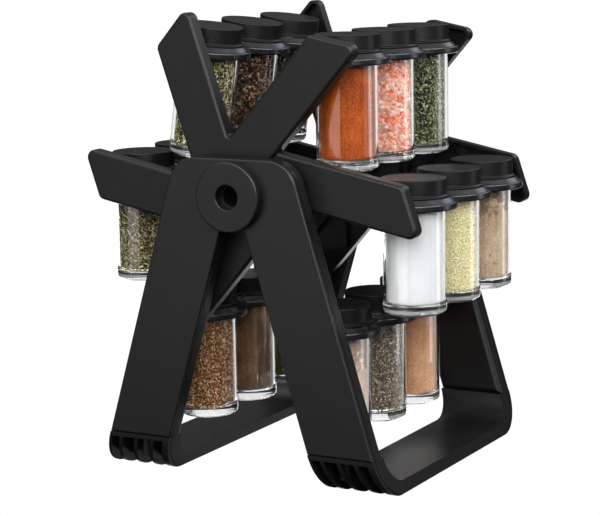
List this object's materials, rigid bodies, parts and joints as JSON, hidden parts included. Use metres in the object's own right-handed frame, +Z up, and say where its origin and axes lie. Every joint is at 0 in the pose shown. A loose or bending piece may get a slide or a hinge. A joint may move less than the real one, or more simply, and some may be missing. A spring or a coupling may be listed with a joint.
{
  "type": "rotating spice jar carousel",
  "caption": "Wheel-shaped carousel on twin A-frames; pivoting trays stay level while the wheel turns and hold lidded glass spice jars.",
  "frame": {"origin": "on the ground, midway between the four feet and under the middle of the axle", "axes": "+X to the right seen from the front, +Y from front to back along the axle, +Z up"},
  "size_m": [0.286, 0.256, 0.3368],
  "materials": {
    "black_plastic": "fine-textured moulded plastic, low sheen",
    "tray_plastic": "smooth satin moulded plastic",
    "lid_plastic": "matt moulded plastic with faint turning lines",
    "shaft_plastic": "smooth moulded plastic",
    "bush_plastic": "self-lubricating natural nylon",
    "screw_steel": "zinc-plated steel",
    "pad_rubber": "soft non-slip rubber",
    "clear_glass": "clear pressed soda-lime glass",
    "dried_herbs": "loose dried herbs",
    "leaf_herbs": "loose dried leaves",
    "salt_and_seeds": "loose salt, seeds and powder",
    "brown_seeds": "loose seeds and powders",
    "ground_spices": "loose ground spices",
    "orange_powder": "loose fine powder",
    "pink_salt": "loose coarse crystals",
    "green_flakes": "loose dried leaf flakes"
  },
  "bodies": {
    "stand": {"base_screws": "screw_steel", "frame_screws": "screw_steel", "front_axle_bush": "bush_plastic", "front_frame_cover": "black_plastic", "front_frame_shell": "black_plastic", "left_base_bar": "black_plastic", "left_foot_pads": "pad_rubber", "rear_axle_bush": "bush_plastic", "rear_frame_cover": "black_plastic", "rear_frame_shell": "black_plastic", "right_base_bar": "black_plastic", "right_foot_pads": "pad_rubber"},
    "wheel": {"axle_shaft": "shaft_plastic", "front_hub_knob": "black_plastic", "front_hub_ring": "black_plastic", "front_spider_left": "black_plastic", "front_spider_right": "black_plastic", "front_spider_top": "black_plastic", "hub_screws": "screw_steel", "rear_hub_knob": "black_plastic", "rear_hub_ring": "black_plastic", "rear_spider_left": "black_plastic", "rear_spider_right": "black_plastic", "rear_spider_top": "black_plastic"},
    "right_tray": {"right_tray": "tray_plastic", "right_tray_pins": "screw_steel", "right_jars_glass": "clear_glass", "right_jars_lid": "lid_plastic", "right_jars_fill": "salt_and_seeds"},
    "top_right_tray": {"top_right_tray": "tray_plastic", "top_right_tray_pins": "screw_steel"},
    "top_left_tray": {"top_left_tray": "tray_plastic", "top_left_tray_pins": "screw_steel", "top_left_jars_glass": "clear_glass", "top_left_jars_lid": "lid_plastic", "top_left_jars_fill": "dried_herbs"},
    "left_tray": {"left_tray": "tray_plastic", "left_tray_pins": "screw_steel", "left_jars_glass": "clear_glass", "left_jars_lid": "lid_plastic", "left_jars_fill": "leaf_herbs"},
    "lower_left_tray": {"lower_left_tray": "tray_plastic", "lower_left_tray_pins": "screw_steel", "lower_left_jars_glass": "clear_glass", "lower_left_jars_lid": "lid_plastic", "lower_left_jars_fill": "brown_seeds"},
    "lower_right_tray": {"lower_right_tray": "tray_plastic", "lower_right_tray_pins": "screw_steel", "lower_right_jars_glass": "clear_glass", "lower_right_jars_lid": "lid_plastic", "lower_right_jars_fill": "ground_spices"},
    "top_right_front_jar": {"top_right_front_jar_glass": "clear_glass", "top_right_front_jar_fill": "orange_powder"},
    "top_right_front_jar_lid_body": {"top_right_front_jar_lid": "lid_plastic"},
    "top_right_middle_jar": {"top_right_middle_jar_glass": "clear_glass", "top_right_middle_jar_fill": "pink_salt"},
    "top_right_middle_jar_lid_body": {"top_right_middle_jar_lid": "lid_plastic"},
    "top_right_rear_jar": {"top_right_rear_jar_glass": "clear_glass", "top_right_rear_jar_fill": "green_flakes"},
    "top_right_rear_jar_lid_body": {"top_right_rear_jar_lid": "lid_plastic"}
  },
  "joints": [
    {"name": "wheel_spin", "type": "hinge", "parent": "stand", "child": "wheel", "pos_m": [0, 0, 0.21], "axis": [0, 1, 0], "continuous": true},
    {"name": "right_tray_swing", "type": "hinge", "parent": "wheel", "child": "right_tray", "pos_m": [0.11236, 0, 0.205], "axis": [0, 1, 0], "continuous": true},
    {"name": "top_right_tray_swing", "type": "hinge", "parent": "wheel", "child": "top_right_tray", "pos_m": [0.06051, 0, 0.3048], "axis": [0, 1, 0], "continuous": true},
    {"name": "top_left_tray_swing", "type": "hinge", "parent": "wheel", "child": "top_left_tray", "pos_m": [-0.05185, 0, 0.30981], "axis": [0, 1, 0], "continuous": true},
    {"name": "left_tray_swing", "type": "hinge", "parent": "wheel", "child": "left_tray", "pos_m": [-0.11236, 0, 0.215], "axis": [0, 1, 0], "continuous": true},
    {"name": "lower_left_tray_swing", "type": "hinge", "parent": "wheel", "child": "lower_left_tray", "pos_m": [-0.06051, 0, 0.1152], "axis": [0, 1, 0], "continuous": true},
    {"name": "lower_right_tray_swing", "type": "hinge", "parent": "wheel", "child": "lower_right_tray", "pos_m": [0.05185, 0, 0.11019], "axis": [0, 1, 0], "continuous": true},
    {"name": "top_right_front_jar_lift", "type": "slide", "parent": "top_right_tray", "child": "top_right_front_jar", "axis": [0, 0, 1], "range_m": [0, 0.066]},
    {"name": "top_right_front_jar_lid_lift", "type": "slide", "parent": "top_right_front_jar", "child": "top_right_front_jar_lid_body", "axis": [0, 0, 1], "range_m": [0, 0.0115]},
    {"name": "top_right_middle_jar_lift", "type": "slide", "parent": "top_right_tray", "child": "top_right_middle_jar", "axis": [0, 0, 1], "range_m": [0, 0.066]},
    {"name": "top_right_middle_jar_lid_lift", "type": "slide", "parent": "top_right_middle_jar", "child": "top_right_middle_jar_lid_body", "axis": [0, 0, 1], "range_m": [0, 0.0115]},
    {"name": "top_right_rear_jar_lift", "type": "slide", "parent": "top_right_tray", "child": "top_right_rear_jar", "axis": [0, 0, 1], "range_m": [0, 0.066]},
    {"name": "top_right_rear_jar_lid_lift", "type": "slide", "parent": "top_right_rear_jar", "child": "top_right_rear_jar_lid_body", "axis": [0, 0, 1], "range_m": [0, 0.0115]}
  ],
  "couplings": [
    {"joint": "right_tray_swing", "follows": "wheel_spin", "ratio": -1},
    {"joint": "top_right_tray_swing", "follows": "wheel_spin", "ratio": -1},
    {"joint": "top_left_tray_swing", "follows": "wheel_spin", "ratio": -1},
    {"joint": "left_tray_swing", "follows": "wheel_spin", "ratio": -1},
    {"joint": "lower_left_tray_swing", "follows": "wheel_spin", "ratio": -1},
    {"joint": "lower_right_tray_swing", "follows": "wheel_spin", "ratio": -1}
  ]
}
